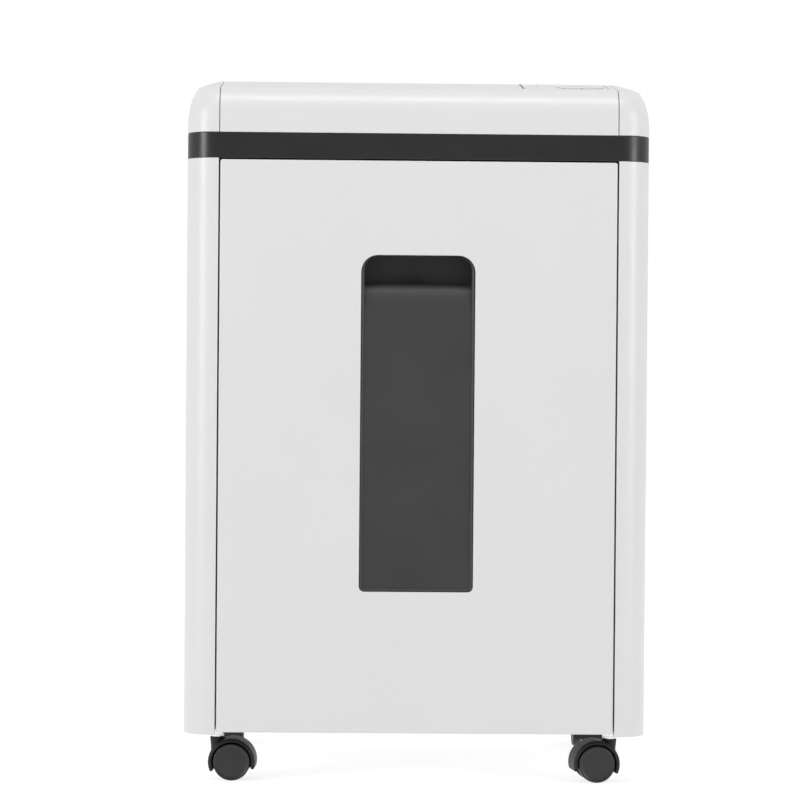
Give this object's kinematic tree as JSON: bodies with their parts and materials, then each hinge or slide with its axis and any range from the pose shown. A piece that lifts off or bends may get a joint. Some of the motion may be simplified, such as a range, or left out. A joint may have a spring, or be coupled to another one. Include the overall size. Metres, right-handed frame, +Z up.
{
  "type": "paper shredder",
  "caption": "Upright office paper shredder on castors with a pull-out bin behind a windowed door, a sloped head with push buttons and a geared cross-cut cutter.",
  "frame": {"origin": "on the floor, below the middle of the cabinet's bounding box", "axes": "+Z up, the door faces -Y, +X to the right as seen from the front"},
  "size_m": [0.3744, 0.28, 0.575],
  "materials": {
    "casing": "fine moulded texture, light warm grey-white",
    "band": "satin black moulding",
    "black_plastic": "black moulding",
    "window_smoke": "dark smoked sheet, faintly brushed",
    "bin_plastic": "dark grey moulding",
    "button_white": "satin white caps",
    "lens": "clear light windows",
    "red_plastic": "red switch parts",
    "castor_plastic": "black nylon hood",
    "wheel_plastic": "black nylon wheel, satin face",
    "plated_stem": "bright plated steel",
    "sheet_steel": "zinc-plated sheet",
    "cutter_steel": "hardened, oiled steel",
    "gear_steel": "machined steel",
    "gear_nylon": "natural nylon",
    "bearing_brass": "sintered bush",
    "motor_steel": "plated motor can",
    "circuit_board": "green board with parts",
    "wire_sleeve": "sleeved wires",
    "screw_steel": "plated fasteners"
  },
  "bodies": {
    "cabinet": {"base_pan": "casing", "side_panel_left": "casing", "side_panel_right": "casing", "back_panel": "sheet_steel", "back_screws": "screw_steel", "bin_runners": "casing", "interlock_switch": "black_plastic", "trim_band": "band", "head_tray": "black_plastic", "top_cover": "casing", "end_cap_left": "casing", "end_cap_right": "casing", "feed_throat": "band", "trim_strip": "band", "control_panel": "casing", "indicator_lenses": "lens", "control_board": "circuit_board", "cutter_plate_left": "sheet_steel", "cutter_plate_right": "sheet_steel", "tie_rods": "screw_steel", "stripper_combs": "black_plastic", "shaft_bushes": "bearing_brass", "gear_plate": "sheet_steel", "motor_can": "motor_steel", "power_board": "circuit_board", "wire_harness": "wire_sleeve", "power_entry": "black_plastic", "castor_stems": "plated_stem"},
    "drawer": {"door_panel": "casing", "window_panel": "window_smoke", "handle_cup": "black_plastic", "bin": "bin_plastic", "door_screws": "screw_steel"},
    "interlock_plunger": {"interlock_plunger": "red_plastic"},
    "sensor_lever": {"sensor_lever": "black_plastic"},
    "button_power": {"button_power": "button_white"},
    "button_reverse": {"button_reverse": "button_white"},
    "button_forward": {"button_forward": "button_white"},
    "rear_switch": {"rocker_paddle": "red_plastic"},
    "rear_roller": {"roller_rear": "cutter_steel", "timing_gear_rear": "gear_steel", "final_gear": "gear_steel"},
    "front_roller": {"roller_front": "cutter_steel", "timing_gear_front": "gear_steel"},
    "compound_gear": {"compound_gear": "gear_nylon"},
    "motor_rotor": {"motor_rotor": "gear_steel", "motor_pinion": "gear_steel", "cooling_fan": "black_plastic"},
    "castor_fl": {"castor_hood_fl": "castor_plastic"},
    "wheel_fl_front": {"wheel_fl_front": "wheel_plastic"},
    "wheel_fl_rear": {"wheel_fl_rear": "wheel_plastic"},
    "castor_fr": {"castor_hood_fr": "castor_plastic"},
    "wheel_fr_front": {"wheel_fr_front": "wheel_plastic"},
    "wheel_fr_rear": {"wheel_fr_rear": "wheel_plastic"},
    "castor_rl": {"castor_hood_rl": "castor_plastic"},
    "wheel_rl_left": {"wheel_rl_left": "wheel_plastic"},
    "wheel_rl_right": {"wheel_rl_right": "wheel_plastic"},
    "castor_rr": {"castor_hood_rr": "castor_plastic"},
    "wheel_rr_left": {"wheel_rr_left": "wheel_plastic"},
    "wheel_rr_right": {"wheel_rr_right": "wheel_plastic"}
  },
  "joints": [
    {"name": "drawer_slide", "type": "slide", "parent": "cabinet", "child": "drawer", "axis": [0, -1, 0], "range_m": [0, 0.24]},
    {"name": "interlock_push", "type": "slide", "parent": "cabinet", "child": "interlock_plunger", "axis": [0, 1, 0], "range_m": [0, 0.0012], "stiffness_N_per_m": 200},
    {"name": "paper_sensor", "type": "hinge", "parent": "cabinet", "child": "sensor_lever", "pos_m": [-0.03, -0.041, 0.54], "axis": [1, 0, 0], "range_deg": [-25, 0], "stiffness_Nm_per_rad": 0.02},
    {"name": "power_press", "type": "slide", "parent": "cabinet", "child": "button_power", "axis": [0, 0.1564, -0.9877], "range_m": [0, 0.0012], "stiffness_N_per_m": 300},
    {"name": "reverse_press", "type": "slide", "parent": "cabinet", "child": "button_reverse", "axis": [0, 0.1564, -0.9877], "range_m": [0, 0.0012], "stiffness_N_per_m": 300},
    {"name": "forward_press", "type": "slide", "parent": "cabinet", "child": "button_forward", "axis": [0, 0.1564, -0.9877], "range_m": [0, 0.0012], "stiffness_N_per_m": 300},
    {"name": "rear_switch_tip", "type": "hinge", "parent": "cabinet", "child": "rear_switch", "pos_m": [0.064, 0.132, 0.468], "axis": [1, 0, 0], "range_deg": [-16, 0]},
    {"name": "rear_roller_spin", "type": "hinge", "parent": "cabinet", "child": "rear_roller", "pos_m": [0.1, -0.007, 0.5], "axis": [1, 0, 0], "continuous": true},
    {"name": "front_roller_spin", "type": "hinge", "parent": "cabinet", "child": "front_roller", "pos_m": [0.1, -0.043, 0.5], "axis": [1, 0, 0], "continuous": true},
    {"name": "compound_gear_spin", "type": "hinge", "parent": "cabinet", "child": "compound_gear", "pos_m": [0.1, 0.02922, 0.49029], "axis": [1, 0, 0], "continuous": true},
    {"name": "motor_spin", "type": "hinge", "parent": "cabinet", "child": "motor_rotor", "pos_m": [0.1, 0.064, 0.49961], "axis": [1, 0, 0], "continuous": true},
    {"name": "castor_fl_swivel", "type": "hinge", "parent": "cabinet", "child": "castor_fl", "pos_m": [-0.16, -0.105, 0.03], "axis": [0, 0, 1], "continuous": true},
    {"name": "wheel_fl_front_spin", "type": "hinge", "parent": "castor_fl", "child": "wheel_fl_front", "pos_m": [-0.14772, -0.10564, 0.015], "axis": [0.0523, 0.9986, 0], "continuous": true},
    {"name": "wheel_fl_rear_spin", "type": "hinge", "parent": "castor_fl", "child": "wheel_fl_rear", "pos_m": [-0.14772, -0.10564, 0.015], "axis": [0.0523, 0.9986, 0], "continuous": true},
    {"name": "castor_fr_swivel", "type": "hinge", "parent": "cabinet", "child": "castor_fr", "pos_m": [0.16, -0.105, 0.03], "axis": [0, 0, 1], "continuous": true},
    {"name": "wheel_fr_front_spin", "type": "hinge", "parent": "castor_fr", "child": "wheel_fr_front", "pos_m": [0.1478, -0.10661, 0.015], "axis": [0.1305, -0.9914, 0], "continuous": true},
    {"name": "wheel_fr_rear_spin", "type": "hinge", "parent": "castor_fr", "child": "wheel_fr_rear", "pos_m": [0.1478, -0.10661, 0.015], "axis": [0.1305, -0.9914, 0], "continuous": true},
    {"name": "castor_rl_swivel", "type": "hinge", "parent": "cabinet", "child": "castor_rl", "pos_m": [-0.16, 0.105, 0.03], "axis": [0, 0, 1], "continuous": true},
    {"name": "wheel_rl_left_spin", "type": "hinge", "parent": "castor_rl", "child": "wheel_rl_left", "pos_m": [-0.16, 0.1173, 0.015], "axis": [-1, 0, 0], "continuous": true},
    {"name": "wheel_rl_right_spin", "type": "hinge", "parent": "castor_rl", "child": "wheel_rl_right", "pos_m": [-0.16, 0.1173, 0.015], "axis": [-1, 0, 0], "continuous": true},
    {"name": "castor_rr_swivel", "type": "hinge", "parent": "cabinet", "child": "castor_rr", "pos_m": [0.16, 0.105, 0.03], "axis": [0, 0, 1], "continuous": true},
    {"name": "wheel_rr_left_spin", "type": "hinge", "parent": "castor_rr", "child": "wheel_rr_left", "pos_m": [0.16, 0.1173, 0.015], "axis": [-1, 0, 0], "continuous": true},
    {"name": "wheel_rr_right_spin", "type": "hinge", "parent": "castor_rr", "child": "wheel_rr_right", "pos_m": [0.16, 0.1173, 0.015], "axis": [-1, 0, 0], "continuous": true}
  ],
  "couplings": [
    {"joint": "front_roller_spin", "follows": "rear_roller_spin", "ratio": -1},
    {"joint": "compound_gear_spin", "follows": "rear_roller_spin", "ratio": -4},
    {"joint": "motor_spin", "follows": "rear_roller_spin", "ratio": 20}
  ]
}
